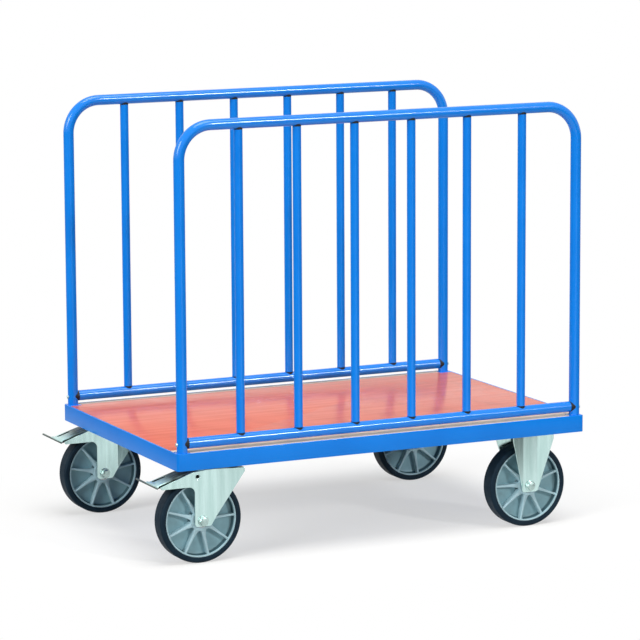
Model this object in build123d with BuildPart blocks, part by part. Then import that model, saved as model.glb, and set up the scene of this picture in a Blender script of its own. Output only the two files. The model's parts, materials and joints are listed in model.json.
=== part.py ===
from build123d import *
import os
from math import cos, radians, sin, tan

os.makedirs("parts", exist_ok=True)

# All sizes are in millimetres. X runs along the platform, Y across it, and Z is up from the floor.

# Platform: a welded angle frame with a board laid flush in it
platform_length = 1050
platform_width = 700
rail_height = 40
rail_wall = 4
rail_flange = 30
frame_corner_radius = 6
rail_edge_round = 1.2
board_thickness = 12
board_gap = 0.6
bearer_width = 130
middle_bearer_width = 80
bearer_sheet = 4
bearer_recess = 12.5

# Side hoops: bent tube, a lower rail between the legs and upright bars
overall_height = 1013
tube_diameter = 25
tube_wall = 2
bend_radius = 77
leg_inset_x = 18
leg_inset_y = 15
lower_rail_gap = 8.2
bar_diameter = 20
bar_wall = 1.5
bar_count = 6
saddle_web = 1
saddle_gap = 0.1

# Spigots in the frame corners, and the screws that hold the hoop legs on them
spigot_base = 30
spigot_base_round = 3
spigot_height = 55
spigot_clearance = 0.1
screw_height = 19
screw_diameter = 6
screw_depth = 14
screw_head_diameter = 9
screw_head_height = 3
screw_head_round = 1.2
screw_clearance = 0.1

# Caster plates and the bolts that hold them to the bearers
caster_height = 236
caster_inset = 132
plate_length = 120
plate_width = 94
plate_thickness = 5
plate_corner_radius = 8
plate_clearance = 2
bolt_spacing_x = 92
bolt_spacing_y = 48
bolt_diameter = 8
bolt_hole_clearance = 0.5
bolt_head_flats = 13
bolt_head_height = 5.3
bolt_nut_height = 6.5
bolt_tail = 0.7
thread_clearance = 0.05

# Wheels: a ribbed plastic core with a rubber tyre, on two ball bearings
wheel_head_room = 36
wheel_diameter = caster_height - wheel_head_room
tyre_depth = 13
tyre_width = 42
tyre_shoulder_radius = 6
tyre_foot_chamfer = 1.5
tyre_seat_gap = 0.1
rim_width = 38
rim_ring = 4
rim_edge_round = 1
web_thickness = 6
hub_diameter = 50
hub_width = 46
rib_count = 9
rib_root_width = 10
rib_tip_width = 3.6
rib_setback = 1.5
rib_angles = {"front_swivel": 3, "rear_swivel": 9.5, "front_fixed": 18.5, "rear_fixed": 0}
bearing_diameter = 35
bearing_width = 11
bearing_groove_depth = 0.6
sleeve_diameter = 20
hub_bore_clearance = 2
seat_clearance = 0.05
running_clearance = 0.05

# Axles, the same in all four casters
axle_diameter = 12
axle_head_flats = 18
axle_head_height = 5.5
axle_flange_diameter = 25
axle_flange_height = 2.5
axle_tail = 2

# Pressed sheet of the forks and brackets
sheet = 4
fork_gap = 54
leg_half_width = 20
leg_corner_radius = 8

# Swivel fork: lengths from the wheel's axle, drops from the top of the crown
fork_leg_drop = 13
swivel_offset = 61
fork_flare_start = 34
fork_rear = 98
fork_flare_out = 16
fork_flare_bend = 10
crown_front = 12
race_height = 13
arm_reach = 104.5
arm_tip_drop = 32
arm_lower_drop = 37.7
arm_tip_cut = 4
arm_shoulder = 26
arm_shoulder_drop = 3.6
arm_shoulder_radius = 40
arm_inner_radius = 14
fork_rear_drop = 8

# Swivel head
king_pin_diameter = 16
king_collar_diameter = 26
king_collar_height = 4
king_nut_flats = 24
king_nut_height = 10
king_pin_tail = 2
king_nut_clearance = 0.3
ball_circle_radius = 27
ball_count = 10
ball_gap = 0.4
cup_wall = 2
cup_ball_room = 1.4
cup_clearance = 0.5

# Brake pedal: lengths from the wheel's axle, drops from the top of the fork's crown
pedal_pivot_x = -12.6
pedal_pivot_drop = 14.5
pedal_pin_diameter = 12
pedal_pin_bore = 9
pedal_pin_end = 22
pedal_lug_radius = 9.5
pedal_sheet = 3
pedal_side_room = 1.5
pedal_rear = 0
pedal_rear_drop = 9
pedal_bend = 46
pedal_bend_drop = 10
pedal_bend_radius = 12
pedal_slope = 17
pedal_reach = 113
pedal_head_depth = 5
pedal_head_far = 34
pedal_slot_length = 32
pedal_slot_width = 10
pedal_slot_x = 88
pedal_slot_offset = 17
release_bar_thickness = 3
release_bar_height = 3
release_bar_far = 95
shoe_front = 66
shoe_rear = 48
shoe_gap = 10
pad_front = 106
pad_depth = 5
key_gap = 0.2
key_drop = 0.4

# Fixed bracket
bracket_leg_drop = 15
wing_half_length = 54.5
wing_out = 17
wing_shoulder_drop = 16
wing_shoulder_radius = 20
wing_bend = 6
panel_half_width = 19.7

# Heights that follow
wheel_radius = wheel_diameter / 2
axle_z = wheel_radius
rail_bottom = caster_height - bearer_recess
rail_top = rail_bottom + rail_height
board_bottom = rail_top - board_thickness
flange_bottom = board_bottom - rail_wall
bearer_height = flange_bottom - caster_height
plate_bottom = caster_height - plate_thickness
crown_top = plate_bottom - race_height
crown_bottom = crown_top - sheet
crown_height = crown_top - axle_z
arm_tip_height = crown_height - arm_tip_drop
arm_lower_height = crown_height - arm_lower_drop
pedal_pivot_height = crown_height - pedal_pivot_drop
pedal_rear_height = crown_height - pedal_rear_drop
pedal_bend_height = crown_height - pedal_bend_drop
fork_leg_bottom = axle_z - fork_leg_drop
bracket_leg_bottom = axle_z - bracket_leg_drop
tube_radius = tube_diameter / 2
bar_radius = bar_diameter / 2
seat_distance = tube_radius + saddle_web
top_rail_z = overall_height - tube_radius
lower_rail_z = rail_top + lower_rail_gap + tube_radius

# Places that follow: the pedals stand out past the left end and one release bar past the rear side,
# so the platform's middle lies half of each overhang away from the frame's origin
slope = radians(pedal_slope)
pedal_front = pedal_reach + pedal_sheet / 2 * sin(slope)
pedal_overhang = swivel_offset + pedal_front - caster_inset
platform_x = pedal_overhang / 2
half_length = platform_length / 2
half_width = platform_width / 2
swivel_x = platform_x - half_length + caster_inset
fixed_x = platform_x + half_length - caster_inset
swivel_axle_x = swivel_x - swivel_offset
caster_spread = half_width - rail_wall - plate_clearance - plate_width / 2
platform_y = -(caster_spread + release_bar_far - half_width) / 2
left_leg_x = platform_x - half_length + leg_inset_x
right_leg_x = platform_x + half_length - leg_inset_x
leg_span = right_leg_x - left_leg_x
leg_spread = half_width - leg_inset_y
bar_pitch = leg_span / (bar_count + 1)
bar_places = [left_leg_x + bar_pitch * (i + 1) for i in range(bar_count)]
cheek_middle = fork_gap / 2 + sheet / 2
cheek_outside = fork_gap / 2 + sheet
sides = {"front": -1, "rear": 1}
caster_y = {name: platform_y + side * caster_spread for name, side in sides.items()}
leg_y = {name: platform_y + side * leg_spread for name, side in sides.items()}


def finish(piece, name):
    """Label a finished piece and write it."""
    piece.label = name
    export_step(piece, f"parts/{name}.step")


def across(x, y, z):
    """An upright plane through a point, facing along the platform's width."""
    return Plane(origin=(x, y, z), x_dir=(1, 0, 0), z_dir=(0, -1, 0))


# Platform frame: one ring of angle section, cut along its mitres into four rails
def frame_rail(corners):
    inner_radius = frame_corner_radius - rail_wall
    with BuildPart() as rail:
        with BuildSketch(Plane.XY.offset(rail_bottom)):
            with Locations((platform_x, platform_y)):
                RectangleRounded(platform_length, platform_width, frame_corner_radius)
                RectangleRounded(
                    platform_length - 2 * rail_wall,
                    platform_width - 2 * rail_wall,
                    inner_radius,
                    mode=Mode.SUBTRACT,
                )
        extrude(amount=rail_height)
        top_edges = rail.faces().sort_by(Axis.Z)[-1].outer_wire().edges()
        fillet(top_edges, radius=rail_edge_round)
        with BuildSketch(Plane.XY.offset(flange_bottom)):
            with Locations((platform_x, platform_y)):
                RectangleRounded(platform_length - rail_wall, platform_width - rail_wall, inner_radius)
                Rectangle(
                    platform_length - 2 * (rail_wall + rail_flange),
                    platform_width - 2 * (rail_wall + rail_flange),
                    mode=Mode.SUBTRACT,
                )
        extrude(amount=rail_wall)
        with BuildSketch(Plane.XY.offset(rail_bottom)):
            with BuildLine():
                Polyline(*corners, close=True)
            make_face()
        extrude(amount=rail_height, mode=Mode.INTERSECT)
    return rail.part


mitre = 2 * (rail_wall + rail_flange)
left_x = platform_x - half_length
right_x = platform_x + half_length
for name, side in sides.items():
    edge_y = platform_y + side * half_width
    inner_y = platform_y + side * (half_width - mitre)
    long_rail = frame_rail(
        [(left_x, edge_y), (right_x, edge_y), (right_x - mitre, inner_y), (left_x + mitre, inner_y)]
    )
    finish(long_rail, f"{name}_rail")
for name, end_x, inner_x in (
    ("left_end_rail", left_x, left_x + mitre),
    ("right_end_rail", right_x, right_x - mitre),
):
    end_rail = frame_rail(
        [
            (end_x, platform_y - half_width),
            (inner_x, platform_y - half_width + mitre),
            (inner_x, platform_y + half_width - mitre),
            (end_x, platform_y + half_width),
        ]
    )
    finish(end_rail, name)

# Bearers: shallow channels across the frame, open upwards, which carry the casters and the board
swivel_centres = [(swivel_x, y) for y in caster_y.values()]
fixed_centres = [(fixed_x, y) for y in caster_y.values()]
bolt_places = [
    (x + i * bolt_spacing_x / 2, y + j * bolt_spacing_y / 2)
    for x, y in swivel_centres + fixed_centres
    for i in (-1, 1)
    for j in (-1, 1)
]
bolt_hole_radius = bolt_diameter / 2 + bolt_hole_clearance


def bearer(x, width, hole_places):
    with BuildPart() as channel:
        with BuildSketch(Plane.XY.offset(caster_height)):
            with Locations((x, platform_y)):
                Rectangle(width, platform_width - 2 * rail_wall)
        extrude(amount=bearer_height)
        with BuildSketch(Plane.XY.offset(caster_height + bearer_sheet)):
            with Locations((x, platform_y)):
                Rectangle(width - 2 * bearer_sheet, platform_width)
        extrude(amount=bearer_height, mode=Mode.SUBTRACT)
        if hole_places:
            with BuildSketch(Plane.XY.offset(caster_height)):
                with Locations(*hole_places):
                    Circle(bolt_hole_radius)
            extrude(amount=bearer_sheet, mode=Mode.SUBTRACT)
    return channel.part


finish(bearer(swivel_x, bearer_width, [p for p in bolt_places if p[0] < platform_x]), "left_bearer")
finish(bearer(fixed_x, bearer_width, [p for p in bolt_places if p[0] > platform_x]), "right_bearer")
finish(bearer(platform_x, middle_bearer_width, []), "middle_bearer")

# Board: laid on the flanges, notched at its corners for the spigots
notch = spigot_base + board_gap
board_length = platform_length - 2 * (rail_wall + board_gap)
board_width = platform_width - 2 * (rail_wall + board_gap)
with BuildPart() as board:
    with BuildSketch(Plane.XY.offset(board_bottom)):
        with Locations((platform_x, platform_y)):
            Rectangle(board_length, board_width)
            with GridLocations(board_length, board_width, 2, 2):
                Rectangle(2 * notch, 2 * notch, mode=Mode.SUBTRACT)
    extrude(amount=board_thickness)
finish(board.part, "deck_board")

# Spigots: a block in each frame corner with a round stub inside the hoop leg
leg_bore_radius = tube_radius - tube_wall
spigot_radius = leg_bore_radius - spigot_clearance
screw_z = rail_top + screw_height
ends = ((left_leg_x, -1), (right_leg_x, 1))
legs = [(x, end, leg_y[name], side) for x, end in ends for name, side in sides.items()]
with BuildPart() as spigots:
    for leg_x, end, y, side in legs:
        base_x = platform_x + end * (half_length - rail_wall - spigot_base / 2)
        base_y = platform_y + side * (half_width - rail_wall - spigot_base / 2)
        with BuildSketch(Plane.XY.offset(board_bottom)):
            with Locations((base_x, base_y)):
                RectangleRounded(spigot_base, spigot_base, spigot_base_round)
        extrude(amount=board_thickness)
        with BuildSketch(Plane.XY.offset(rail_top)):
            with Locations((leg_x, y)):
                Circle(spigot_radius)
        extrude(amount=spigot_height)
        with BuildSketch(Plane.YZ.offset(leg_x + end * tube_radius)):
            with Locations((y, screw_z)):
                Circle(screw_diameter / 2 + screw_clearance)
        extrude(amount=-end * (screw_depth + screw_clearance), mode=Mode.SUBTRACT)
finish(spigots.part, "hoop_spigots")

# Hoop screws: pan heads on the end sides of the legs
with BuildPart() as screws:
    for leg_x, end, y, side in legs:
        seat_x = leg_x + end * tube_radius
        with BuildSketch(Plane.YZ.offset(seat_x)):
            with Locations((y, screw_z)):
                Circle(screw_diameter / 2)
        extrude(amount=-end * screw_depth)
        with BuildSketch(Plane.YZ.offset(seat_x)):
            with Locations((y, screw_z)):
                Circle(screw_head_diameter / 2)
        extrude(amount=end * screw_head_height)
    crowns = screws.faces().filter_by(Axis.X).group_by(Axis.X)
    fillet(crowns[0].edges() + crowns[-1].edges(), radius=screw_head_round)
finish(screws.part, "hoop_screws")


# Hoops: one bent tube each, standing on the frame over the spigots
def hoop(y):
    with BuildPart() as tube:
        with BuildLine(across(0, y, 0)):
            FilletPolyline(
                (left_leg_x, rail_top),
                (left_leg_x, top_rail_z),
                (right_leg_x, top_rail_z),
                (right_leg_x, rail_top),
                radius=bend_radius,
            )
        with BuildSketch(Plane.XY.offset(rail_top)):
            with Locations((left_leg_x, y)):
                Circle(tube_radius)
                Circle(leg_bore_radius, mode=Mode.SUBTRACT)
        sweep()
        for leg_x, end in ends:
            with BuildSketch(Plane.YZ.offset(leg_x)):
                with Locations((y, screw_z)):
                    Circle(screw_diameter / 2 + screw_clearance)
            extrude(amount=end * tube_diameter, mode=Mode.SUBTRACT)
    return tube.part


# Lower rails: tube between the legs, cut square at its ends with room for the saddles
def lower_rail(y):
    with BuildPart() as tube:
        with BuildSketch(Plane.YZ.offset(left_leg_x + seat_distance)):
            with Locations((y, lower_rail_z)):
                Circle(tube_radius)
                Circle(leg_bore_radius, mode=Mode.SUBTRACT)
        extrude(amount=leg_span - 2 * seat_distance)
    return tube.part


# Bars: evenly spaced uprights, cut square between the lower rail and the hoop with room for the saddles
def upright_bars(y):
    with BuildPart() as bars:
        with BuildSketch(Plane.XY.offset(lower_rail_z + seat_distance)):
            with Locations(*[(x, y) for x in bar_places]):
                Circle(bar_radius)
                Circle(bar_radius - bar_wall, mode=Mode.SUBTRACT)
        extrude(amount=top_rail_z - lower_rail_z - 2 * seat_distance)
    return bars.part


for name, y in leg_y.items():
    finish(hoop(y), f"{name}_hoop")
    finish(lower_rail(y), f"{name}_lower_rail")
    finish(upright_bars(y), f"{name}_bars")

# Saddles: moulded pads, flat against a tube's square end and hollow against the tube that it meets
with BuildPart() as bar_saddles:
    for foot_z, upward in ((lower_rail_z, 1), (top_rail_z, -1)):
        with BuildSketch(Plane.XY.offset(foot_z)):
            with Locations(*[(x, y) for x in bar_places for y in leg_y.values()]):
                Circle(bar_radius)
        extrude(amount=upward * (seat_distance - saddle_gap))
    with BuildSketch(Plane.YZ.offset(left_leg_x)):
        with Locations(*[(y, z) for y in leg_y.values() for z in (lower_rail_z, top_rail_z)]):
            Circle(tube_radius + saddle_gap)
    extrude(amount=leg_span, mode=Mode.SUBTRACT)
finish(bar_saddles.part, "bar_saddles")

with BuildPart() as rail_saddles:
    for leg_x, inward in ((left_leg_x, 1), (right_leg_x, -1)):
        with BuildSketch(Plane.YZ.offset(leg_x)):
            with Locations(*[(y, lower_rail_z) for y in leg_y.values()]):
                Circle(tube_radius)
        extrude(amount=inward * (seat_distance - saddle_gap))
    with BuildSketch(Plane.XY.offset(lower_rail_z - tube_diameter)):
        with Locations(*[(x, y) for x in (left_leg_x, right_leg_x) for y in leg_y.values()]):
            Circle(tube_radius + saddle_gap)
    extrude(amount=2 * tube_diameter, mode=Mode.SUBTRACT)
finish(rail_saddles.part, "rail_saddles")

# Caster bolts and nuts: heads under the plates, nuts on the bearers
bolt_grip = plate_thickness + bearer_sheet
with BuildPart() as caster_bolts:
    with BuildSketch(Plane.XY.offset(plate_bottom - bolt_head_height)):
        with Locations(*bolt_places):
            RegularPolygon(bolt_head_flats / 2, 6, major_radius=False)
    extrude(amount=bolt_head_height)
    with BuildSketch(Plane.XY.offset(plate_bottom)):
        with Locations(*bolt_places):
            Circle(bolt_diameter / 2)
    extrude(amount=bolt_grip + bolt_nut_height + bolt_tail)
finish(caster_bolts.part, "caster_bolts")

with BuildPart() as caster_nuts:
    with BuildSketch(Plane.XY.offset(caster_height + bearer_sheet)):
        with Locations(*bolt_places):
            RegularPolygon(bolt_head_flats / 2, 6, major_radius=False)
            Circle(bolt_diameter / 2 + thread_clearance, mode=Mode.SUBTRACT)
    extrude(amount=bolt_nut_height)
finish(caster_nuts.part, "caster_nuts")

# Swivel head: top plate, king pin and nut, and a ring of balls under the plate
king_pin_radius = king_pin_diameter / 2
ball_radius = race_height / 2 - ball_gap
ball_z = crown_top + race_height / 2
for name, y in caster_y.items():
    with BuildPart() as swivel_plate:
        with BuildSketch(Plane.XY.offset(plate_bottom)):
            with Locations((swivel_x, y)):
                RectangleRounded(plate_length, plate_width, plate_corner_radius)
                Circle(king_pin_radius + seat_clearance, mode=Mode.SUBTRACT)
                with GridLocations(bolt_spacing_x, bolt_spacing_y, 2, 2):
                    Circle(bolt_hole_radius, mode=Mode.SUBTRACT)
        extrude(amount=plate_thickness)
    finish(swivel_plate.part, f"{name}_swivel_plate")

king_nut_top = crown_bottom - king_nut_clearance
king_pin_bottom = king_nut_top - king_nut_height - king_pin_tail
with BuildPart() as king_pins:
    with BuildSketch(Plane.XY.offset(king_pin_bottom)):
        with Locations(*swivel_centres):
            Circle(king_pin_radius)
    extrude(amount=caster_height - king_pin_bottom)
    with BuildSketch(Plane.XY.offset(plate_bottom - king_collar_height)):
        with Locations(*swivel_centres):
            Circle(king_collar_diameter / 2)
    extrude(amount=king_collar_height)
finish(king_pins.part, "king_pins")

with BuildPart() as king_nuts:
    with BuildSketch(Plane.XY.offset(king_nut_top - king_nut_height)):
        with Locations(*swivel_centres):
            RegularPolygon(king_nut_flats / 2, 6, major_radius=False)
            Circle(king_pin_radius + thread_clearance, mode=Mode.SUBTRACT)
    extrude(amount=king_nut_height)
finish(king_nuts.part, "king_nuts")

with BuildPart() as swivel_balls:
    for x, y in swivel_centres:
        with Locations((x, y, ball_z)):
            with PolarLocations(ball_circle_radius, ball_count):
                Sphere(ball_radius)
finish(swivel_balls.part, "swivel_balls")

# Swivel fork: two pressed cheeks that flare out behind, a flat crown, and arms that reach forwards
fork_rear_middle = cheek_middle + fork_flare_out


def swivel_fork(y):
    def cheek_run(side):
        return [
            (swivel_axle_x - arm_reach, y + side * cheek_middle),
            (swivel_axle_x + fork_flare_start, y + side * cheek_middle),
            (swivel_axle_x + fork_rear, y + side * fork_rear_middle),
        ]

    crown_front_x = swivel_axle_x + crown_front
    with BuildPart() as fork:
        with BuildSketch(Plane.XY.offset(fork_leg_bottom)):
            for side in sides.values():
                with BuildLine():
                    FilletPolyline(*cheek_run(side), radius=fork_flare_bend)
                trace(line_width=sheet)
        extrude(amount=crown_top - fork_leg_bottom)
        with BuildSketch(Plane.XY.offset(crown_bottom)):
            with BuildLine():
                Polyline(
                    (crown_front_x, y - cheek_middle),
                    *cheek_run(-1)[1:],
                    *reversed(cheek_run(1)[1:]),
                    (crown_front_x, y + cheek_middle),
                    close=True,
                )
            make_face()
        extrude(amount=sheet)
        with BuildSketch(across(swivel_axle_x, y, axle_z)):
            with BuildLine():
                FilletPolyline(
                    (fork_rear, crown_top - axle_z),
                    (crown_front, crown_top - axle_z),
                    (-arm_shoulder, crown_top - axle_z - arm_shoulder_drop),
                    (-arm_reach, arm_tip_height),
                    (-arm_reach + arm_tip_cut, arm_lower_height),
                    (-leg_half_width, arm_lower_height),
                    (-leg_half_width, -fork_leg_drop),
                    (leg_half_width, -fork_leg_drop),
                    (fork_rear, crown_top - axle_z - fork_rear_drop),
                    radius=[
                        0,
                        arm_shoulder_radius,
                        arm_shoulder_radius,
                        0,
                        0,
                        arm_inner_radius,
                        leg_corner_radius,
                        leg_corner_radius,
                        0,
                    ],
                    close=True,
                )
            make_face()
        extrude(amount=fork_rear_middle + sheet, both=True, mode=Mode.INTERSECT)
        with BuildSketch(across(swivel_axle_x, y, axle_z)):
            Circle(axle_diameter / 2 + seat_clearance)
            with Locations((pedal_pivot_x, pedal_pivot_height)):
                Circle(pedal_pin_diameter / 2 + seat_clearance)
        extrude(amount=cheek_outside, both=True, mode=Mode.SUBTRACT)
        with BuildSketch(Plane.XY.offset(crown_bottom)):
            with Locations((swivel_x, y)):
                Circle(king_pin_radius + running_clearance)
        extrude(amount=sheet, mode=Mode.SUBTRACT)
    return fork.part


# Swivel cup: a ring on the crown around the balls
cup_inside = ball_circle_radius + ball_radius + cup_ball_room


def swivel_cup(y):
    with BuildPart() as cup:
        with BuildSketch(Plane.XY.offset(crown_top)):
            with Locations((swivel_x, y)):
                Circle(cup_inside + cup_wall)
                Circle(cup_inside, mode=Mode.SUBTRACT)
        extrude(amount=race_height - cup_clearance)
    return cup.part


# Pedal pins: two hollow stubs in the fork's cheeks
def pedal_pins(y):
    with BuildPart() as pins:
        for side in sides.values():
            with BuildSketch(across(swivel_axle_x, y + side * cheek_outside, axle_z)):
                with Locations((pedal_pivot_x, pedal_pivot_height)):
                    Circle(pedal_pin_diameter / 2)
                    Circle(pedal_pin_bore / 2, mode=Mode.SUBTRACT)
            extrude(amount=side * (cheek_outside - pedal_pin_end))
    return pins.part


# Brake pedal: folded sheet between the arms, with lugs on the pins, a slot, and a head across the front
pedal_half_width = fork_gap / 2 - pedal_side_room


def pedal_middle(x):
    """Height above the axle of the middle of the pedal's sheet, at a distance before the axle."""
    return pedal_bend_height - (x - pedal_bend) * tan(slope)


def pedal_under(x):
    """Height above the axle of the underside of the pedal's sheet, at a distance before the axle."""
    return pedal_middle(x) - pedal_sheet / 2 / cos(slope)


def brake_pedal(y):
    head_start = pedal_reach - pedal_head_depth
    with BuildPart() as pedal:
        with BuildSketch(across(swivel_axle_x, y, axle_z)):
            with BuildLine():
                FilletPolyline(
                    (pedal_rear, pedal_rear_height),
                    (-pedal_bend, pedal_bend_height),
                    (-pedal_reach, pedal_middle(pedal_reach)),
                    radius=pedal_bend_radius,
                )
            trace(line_width=pedal_sheet)
        extrude(amount=pedal_half_width, both=True)
        with BuildSketch(across(swivel_axle_x, y + pedal_head_far, axle_z)):
            with BuildLine():
                Line((-head_start, pedal_middle(head_start)), (-pedal_reach, pedal_middle(pedal_reach)))
            trace(line_width=pedal_sheet)
        extrude(amount=pedal_head_far + cheek_outside)
        for lug_y in (y + pedal_half_width, y - pedal_half_width + pedal_sheet):
            with BuildSketch(across(swivel_axle_x, lug_y, axle_z)):
                with Locations((pedal_pivot_x, pedal_pivot_height)):
                    Circle(pedal_lug_radius)
                with BuildLine():
                    Polyline(
                        (pedal_pivot_x + pedal_lug_radius, pedal_pivot_height),
                        (pedal_pivot_x + pedal_lug_radius, pedal_rear_height),
                        (-pedal_bend, pedal_bend_height),
                        (pedal_pivot_x - pedal_lug_radius, pedal_pivot_height),
                        close=True,
                    )
                make_face()
            extrude(amount=pedal_sheet)
        with BuildSketch(across(swivel_axle_x, y, axle_z)):
            with Locations((pedal_pivot_x, pedal_pivot_height)):
                Circle(pedal_pin_diameter / 2 + running_clearance)
        extrude(amount=cheek_outside, both=True, mode=Mode.SUBTRACT)
        with BuildSketch(Plane.XY.offset(axle_z + arm_lower_height)):
            with Locations((swivel_axle_x - pedal_slot_x, y + pedal_slot_offset)):
                SlotOverall(pedal_slot_length, pedal_slot_width)
        extrude(amount=crown_top - axle_z - arm_lower_height, mode=Mode.SUBTRACT)
    return pedal.part


# Release bar: a strip under the pedal's head that stands out on the far side
def release_bar(y):
    front = pedal_reach - pedal_sheet / 2 * sin(slope)
    back = front - release_bar_thickness
    with BuildPart() as bar:
        with BuildSketch(across(swivel_axle_x, y + release_bar_far, axle_z)):
            with BuildLine():
                Polyline(
                    (-front, pedal_under(front)),
                    (-back, pedal_under(back)),
                    (-back, pedal_under(front) - release_bar_height),
                    (-front, pedal_under(front) - release_bar_height),
                    close=True,
                )
            make_face()
        extrude(amount=release_bar_far + cheek_outside)
    return bar.part


# Brake shoe: a block under the pedal, hollowed to the curve of the tyre, with a pad that runs on to the pedal's head
# and a key on it that fills the pedal's slot
def slot_key(y):
    key_top = pedal_sheet / cos(slope) - key_drop
    with BuildPart() as key:
        with BuildSketch(across(swivel_axle_x, y, axle_z)):
            with BuildLine():
                Polyline(
                    (-shoe_front, pedal_under(shoe_front) + key_top),
                    (-pad_front, pedal_under(pad_front) + key_top),
                    (-pad_front, pedal_under(pad_front) - pad_depth / 2),
                    (-shoe_front, pedal_under(shoe_front) - pad_depth / 2),
                    close=True,
                )
            make_face()
        extrude(amount=pedal_half_width, both=True)
        with BuildSketch(Plane.XY.offset(axle_z + arm_lower_height)):
            with Locations((swivel_axle_x - pedal_slot_x, y + pedal_slot_offset)):
                SlotOverall(pedal_slot_length - 2 * key_gap, pedal_slot_width - 2 * key_gap)
        extrude(amount=crown_top - axle_z - arm_lower_height, mode=Mode.INTERSECT)
    return key.part


def brake_shoe(y):
    with BuildPart() as shoe:
        with BuildSketch(across(swivel_axle_x, y, axle_z)):
            with BuildLine():
                Polyline(
                    (-shoe_rear, pedal_under(shoe_rear)),
                    (-pad_front, pedal_under(pad_front)),
                    (-pad_front, pedal_under(pad_front) - pad_depth),
                    (-shoe_front, pedal_under(shoe_front) - pad_depth),
                    (-shoe_front, 0),
                    (-shoe_rear, 0),
                    close=True,
                )
            make_face()
            Circle(wheel_radius + shoe_gap, mode=Mode.SUBTRACT)
        extrude(amount=pedal_half_width, both=True)
        add(slot_key(y))
    return shoe.part


# Fixed bracket: a pressed plate with two cheeks, each with wings that flare outwards
def fixed_bracket(y):
    with BuildPart() as bracket:
        with BuildSketch(Plane.XY.offset(bracket_leg_bottom)):
            for side in sides.values():
                with BuildLine():
                    FilletPolyline(
                        (fixed_x - wing_half_length, y + side * (cheek_middle + wing_out)),
                        (fixed_x - panel_half_width, y + side * cheek_middle),
                        (fixed_x + panel_half_width, y + side * cheek_middle),
                        (fixed_x + wing_half_length, y + side * (cheek_middle + wing_out)),
                        radius=wing_bend,
                    )
                trace(line_width=sheet)
        extrude(amount=plate_bottom + plate_thickness / 2 - bracket_leg_bottom)
        with BuildSketch(across(fixed_x, y, axle_z)):
            with BuildLine():
                FilletPolyline(
                    (-wing_half_length, caster_height - axle_z),
                    (-wing_half_length, plate_bottom - axle_z - wing_shoulder_drop),
                    (-leg_half_width, -bracket_leg_drop),
                    (leg_half_width, -bracket_leg_drop),
                    (wing_half_length, plate_bottom - axle_z - wing_shoulder_drop),
                    (wing_half_length, caster_height - axle_z),
                    radius=[
                        0,
                        wing_shoulder_radius,
                        leg_corner_radius,
                        leg_corner_radius,
                        wing_shoulder_radius,
                        0,
                    ],
                    close=True,
                )
            make_face()
        extrude(amount=plate_width, both=True, mode=Mode.INTERSECT)
        with BuildSketch(Plane.XY.offset(plate_bottom)):
            with Locations((fixed_x, y)):
                RectangleRounded(plate_length, plate_width, plate_corner_radius)
        extrude(amount=plate_thickness)
        with BuildSketch(Plane.XY.offset(plate_bottom)):
            with Locations((fixed_x, y)):
                with GridLocations(bolt_spacing_x, bolt_spacing_y, 2, 2):
                    Circle(bolt_hole_radius)
        extrude(amount=plate_thickness, mode=Mode.SUBTRACT)
        with BuildSketch(across(fixed_x, y, axle_z)):
            Circle(axle_diameter / 2 + seat_clearance)
        extrude(amount=cheek_outside, both=True, mode=Mode.SUBTRACT)
    return bracket.part


# Axle bolt: a flanged hexagon head on the front cheek, its shank through the sleeve
def axle_bolts(centres):
    with BuildPart() as bolts:
        for x, y in centres:
            head_y = y - cheek_outside
            with BuildSketch(across(x, head_y, axle_z)):
                Circle(axle_flange_diameter / 2)
            extrude(amount=axle_flange_height)
            with BuildSketch(across(x, head_y - axle_flange_height, axle_z)):
                RegularPolygon(axle_head_flats / 2, 6, major_radius=False)
            extrude(amount=axle_head_height)
            with BuildSketch(across(x, head_y, axle_z)):
                Circle(axle_diameter / 2)
            nut_length = axle_flange_height + axle_head_height
            extrude(amount=-(2 * cheek_outside + nut_length + axle_tail))
    return bolts.part


# Axle nut: a flanged nut on the rear cheek
def axle_nuts(centres):
    with BuildPart() as nuts:
        for x, y in centres:
            with BuildSketch(across(x, y + cheek_outside, axle_z)):
                Circle(axle_flange_diameter / 2)
            extrude(amount=-axle_flange_height)
            with BuildSketch(across(x, y + cheek_outside + axle_flange_height, axle_z)):
                RegularPolygon(axle_head_flats / 2, 6, major_radius=False)
            extrude(amount=-axle_head_height)
            with BuildSketch(across(x, y + cheek_outside, axle_z)):
                Circle(axle_diameter / 2 + thread_clearance)
            extrude(amount=-(axle_flange_height + axle_head_height), mode=Mode.SUBTRACT)
    return nuts.part


# Axle sleeve: a spacer clamped between the cheeks, on which the bearings run
def axle_sleeves(centres):
    with BuildPart() as sleeves:
        for x, y in centres:
            with BuildSketch(across(x, y, axle_z)):
                Circle(sleeve_diameter / 2)
                Circle(axle_diameter / 2 + seat_clearance, mode=Mode.SUBTRACT)
            extrude(amount=fork_gap / 2, both=True)
    return sleeves.part


for name, y in caster_y.items():
    caster = [(swivel_axle_x, y)]
    finish(swivel_fork(y), f"{name}_fork")
    finish(swivel_cup(y), f"{name}_swivel_cup")
    finish(pedal_pins(y), f"{name}_pedal_pins")
    finish(brake_pedal(y), f"{name}_brake_pedal")
    finish(release_bar(y), f"{name}_release_bar")
    finish(brake_shoe(y), f"{name}_brake_shoe")
    finish(axle_bolts(caster), f"{name}_axle_bolt")
    finish(axle_nuts(caster), f"{name}_axle_nut")
    finish(axle_sleeves(caster), f"{name}_axle_sleeve")
    finish(fixed_bracket(y), f"{name}_fixed_bracket")

finish(axle_bolts(fixed_centres), "fixed_axle_bolts")
finish(axle_nuts(fixed_centres), "fixed_axle_nuts")
finish(axle_sleeves(fixed_centres), "fixed_axle_sleeves")

# Wheels, each turned about its axle from a half section
rim_radius = wheel_radius - tyre_depth
hub_radius = hub_diameter / 2
bearing_radius = bearing_diameter / 2
hub_bore = sleeve_diameter / 2 + hub_bore_clearance


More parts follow.
